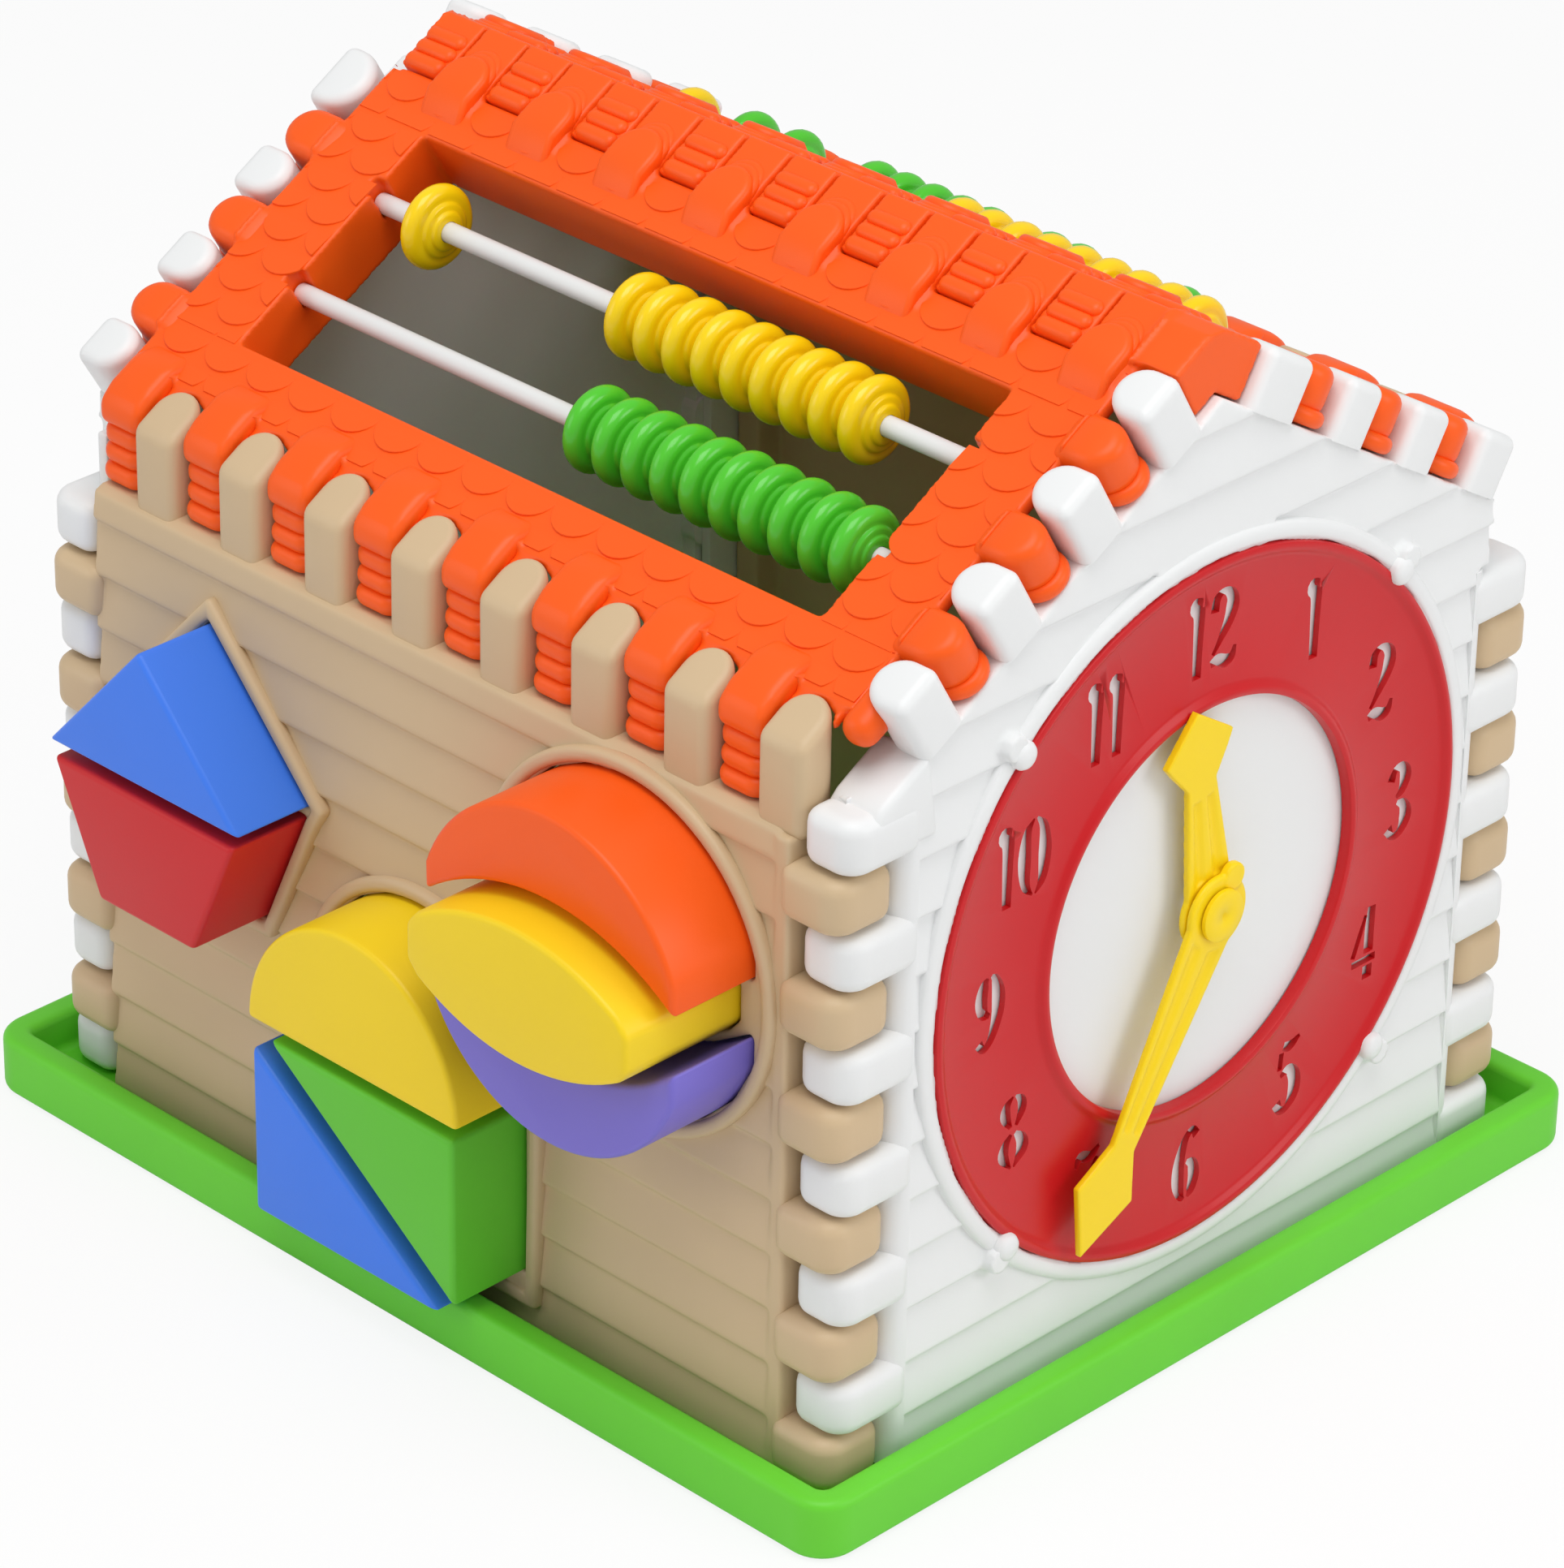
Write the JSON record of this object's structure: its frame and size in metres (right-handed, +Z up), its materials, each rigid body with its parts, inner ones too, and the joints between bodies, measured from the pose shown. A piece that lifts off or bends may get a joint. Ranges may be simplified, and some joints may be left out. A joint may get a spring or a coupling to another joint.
{
  "type": "shape sorter",
  "caption": "Play house shape sorter: log walls with shaped openings and blocks, a lift-off roof with sliding beads on rods, and a clock gable with turning hands.",
  "frame": {"origin": "centre of the tray's underside", "axes": "+X along the ridge towards the clock gable, -Y towards the wall with the block openings, +Z up"},
  "size_m": [0.2244, 0.2191, 0.1998],
  "materials": {
    "bead_green_plastic": "gloss",
    "white_plastic": "satin",
    "orange_plastic": "satin",
    "beige_plastic": "satin",
    "bead_yellow_plastic": "gloss",
    "green_plastic": "satin",
    "yellow_plastic": "satin",
    "purple_plastic": "satin",
    "blue_plastic": "satin",
    "red_plastic": "gloss"
  },
  "bodies": {
    "house": {"base_tray": "green_plastic", "front_wall": "beige_plastic", "back_wall": "beige_plastic", "clock_gable": "white_plastic", "rear_gable": "white_plastic", "clock_ring": "red_plastic", "hand_pivot": "yellow_plastic"},
    "front_roof": {"front_roof": "orange_plastic", "front_upper_rod": "white_plastic", "front_lower_rod": "white_plastic"},
    "back_roof": {"back_roof": "orange_plastic", "back_upper_rod": "white_plastic", "back_lower_rod": "white_plastic"},
    "hour_hand": {"hour_hand": "yellow_plastic"},
    "minute_hand": {"minute_hand": "yellow_plastic"},
    "block_half_disc": {"block_half_disc": "yellow_plastic"},
    "block_lens": {"block_lens": "yellow_plastic"},
    "block_lower_crescent": {"block_lower_crescent": "purple_plastic"},
    "block_lower_wedge": {"block_lower_wedge": "blue_plastic"},
    "block_trapezoid": {"block_trapezoid": "red_plastic"},
    "block_triangle": {"block_triangle": "blue_plastic"},
    "block_upper_crescent": {"block_upper_crescent": "orange_plastic"},
    "block_upper_wedge": {"block_upper_wedge": "green_plastic"},
    "front_yellow_bead_1": {"front_yellow_bead_1": "bead_yellow_plastic"},
    "front_yellow_bead_row": {"front_yellow_bead_2": "bead_yellow_plastic", "front_yellow_bead_3": "bead_yellow_plastic", "front_yellow_bead_4": "bead_yellow_plastic", "front_yellow_bead_5": "bead_yellow_plastic", "front_yellow_bead_6": "bead_yellow_plastic", "front_yellow_bead_7": "bead_yellow_plastic", "front_yellow_bead_8": "bead_yellow_plastic", "front_yellow_bead_9": "bead_yellow_plastic", "front_yellow_bead_10": "bead_yellow_plastic"},
    "front_green_bead_row": {"front_green_bead_1": "bead_green_plastic", "front_green_bead_2": "bead_green_plastic", "front_green_bead_3": "bead_green_plastic", "front_green_bead_4": "bead_green_plastic", "front_green_bead_5": "bead_green_plastic", "front_green_bead_6": "bead_green_plastic", "front_green_bead_7": "bead_green_plastic", "front_green_bead_8": "bead_green_plastic", "front_green_bead_9": "bead_green_plastic", "front_green_bead_10": "bead_green_plastic"},
    "back_yellow_bead_1": {"back_yellow_bead_1": "bead_yellow_plastic"},
    "back_yellow_bead_row": {"back_yellow_bead_2": "bead_yellow_plastic", "back_yellow_bead_3": "bead_yellow_plastic", "back_yellow_bead_4": "bead_yellow_plastic", "back_yellow_bead_5": "bead_yellow_plastic", "back_yellow_bead_6": "bead_yellow_plastic", "back_yellow_bead_7": "bead_yellow_plastic", "back_yellow_bead_8": "bead_yellow_plastic", "back_yellow_bead_9": "bead_yellow_plastic", "back_yellow_bead_10": "bead_yellow_plastic"},
    "back_green_bead_1": {"back_green_bead_1": "bead_green_plastic"},
    "back_green_bead_2": {"back_green_bead_2": "bead_green_plastic"},
    "back_green_bead_run": {"back_green_bead_run": "bead_green_plastic"},
    "back_green_bead_pair": {"back_green_bead_8": "bead_green_plastic", "back_green_bead_9": "bead_green_plastic"},
    "back_green_bead_10": {"back_green_bead_10": "bead_green_plastic"}
  },
  "joints": [
    {"name": "front_roof_lift", "type": "slide", "parent": "house", "child": "front_roof", "axis": [0, -0.5105, 0.8599], "range_m": [0, 0.12]},
    {"name": "back_roof_lift", "type": "slide", "parent": "house", "child": "back_roof", "axis": [0, 0.5105, 0.8599], "range_m": [0, 0.12]},
    {"name": "hour_hand_turn", "type": "hinge", "parent": "house", "child": "hour_hand", "pos_m": [0.1052, 0, 0.0884], "axis": [1, 0, 0], "continuous": true},
    {"name": "minute_hand_turn", "type": "hinge", "parent": "house", "child": "minute_hand", "pos_m": [0.107, 0, 0.0884], "axis": [1, 0, 0], "continuous": true},
    {"name": "block_half_disc_push", "type": "slide", "parent": "house", "child": "block_half_disc", "axis": [0, 1, 0], "range_m": [-0.03, 0.018]},
    {"name": "block_lens_push", "type": "slide", "parent": "house", "child": "block_lens", "axis": [0, 1, 0], "range_m": [-0.022, 0.026]},
    {"name": "block_lower_crescent_push", "type": "slide", "parent": "house", "child": "block_lower_crescent", "axis": [0, 1, 0], "range_m": [-0.03, 0.018]},
    {"name": "block_lower_wedge_push", "type": "slide", "parent": "house", "child": "block_lower_wedge", "axis": [0, 1, 0], "range_m": [-0.03, 0.018]},
    {"name": "block_trapezoid_push", "type": "slide", "parent": "house", "child": "block_trapezoid", "axis": [0, 1, 0], "range_m": [-0.03, 0.018]},
    {"name": "block_triangle_push", "type": "slide", "parent": "house", "child": "block_triangle", "axis": [0, 1, 0], "range_m": [-0.03, 0.018]},
    {"name": "block_upper_crescent_push", "type": "slide", "parent": "house", "child": "block_upper_crescent", "axis": [0, 1, 0], "range_m": [-0.03, 0.018]},
    {"name": "block_upper_wedge_push", "type": "slide", "parent": "house", "child": "block_upper_wedge", "axis": [0, 1, 0], "range_m": [-0.03, 0.018]},
    {"name": "front_yellow_bead_1_slide", "type": "slide", "parent": "front_roof", "child": "front_yellow_bead_1", "axis": [1, 0, 0], "range_m": [-0.009, 0.0457]},
    {"name": "front_yellow_bead_row_slide", "type": "slide", "parent": "front_roof", "child": "front_yellow_bead_row", "axis": [1, 0, 0], "range_m": [-0.0457, 0.0202]},
    {"name": "front_green_bead_row_slide", "type": "slide", "parent": "front_roof", "child": "front_green_bead_row", "axis": [1, 0, 0], "range_m": [-0.0724, 0.0027]},
    {"name": "back_yellow_bead_1_slide", "type": "slide", "parent": "back_roof", "child": "back_yellow_bead_1", "axis": [1, 0, 0], "range_m": [-0.0118, 0.0618]},
    {"name": "back_yellow_bead_row_slide", "type": "slide", "parent": "back_roof", "child": "back_yellow_bead_row", "axis": [1, 0, 0], "range_m": [-0.0618, 0.0013]},
    {"name": "back_green_bead_1_slide", "type": "slide", "parent": "back_roof", "child": "back_green_bead_1", "axis": [1, 0, 0], "range_m": [-0.0083, 0.0046]},
    {"name": "back_green_bead_2_slide", "type": "slide", "parent": "back_roof", "child": "back_green_bead_2", "axis": [1, 0, 0], "range_m": [-0.0046, 0.0129]},
    {"name": "back_green_bead_run_slide", "type": "slide", "parent": "back_roof", "child": "back_green_bead_run", "axis": [1, 0, 0], "range_m": [-0.0129, 0.0079]},
    {"name": "back_green_bead_pair_slide", "type": "slide", "parent": "back_roof", "child": "back_green_bead_pair", "axis": [1, 0, 0], "range_m": [-0.0079, 0.0179]},
    {"name": "back_green_bead_10_slide", "type": "slide", "parent": "back_roof", "child": "back_green_bead_10", "axis": [1, 0, 0], "range_m": [-0.0179, 0.023]}
  ]
}
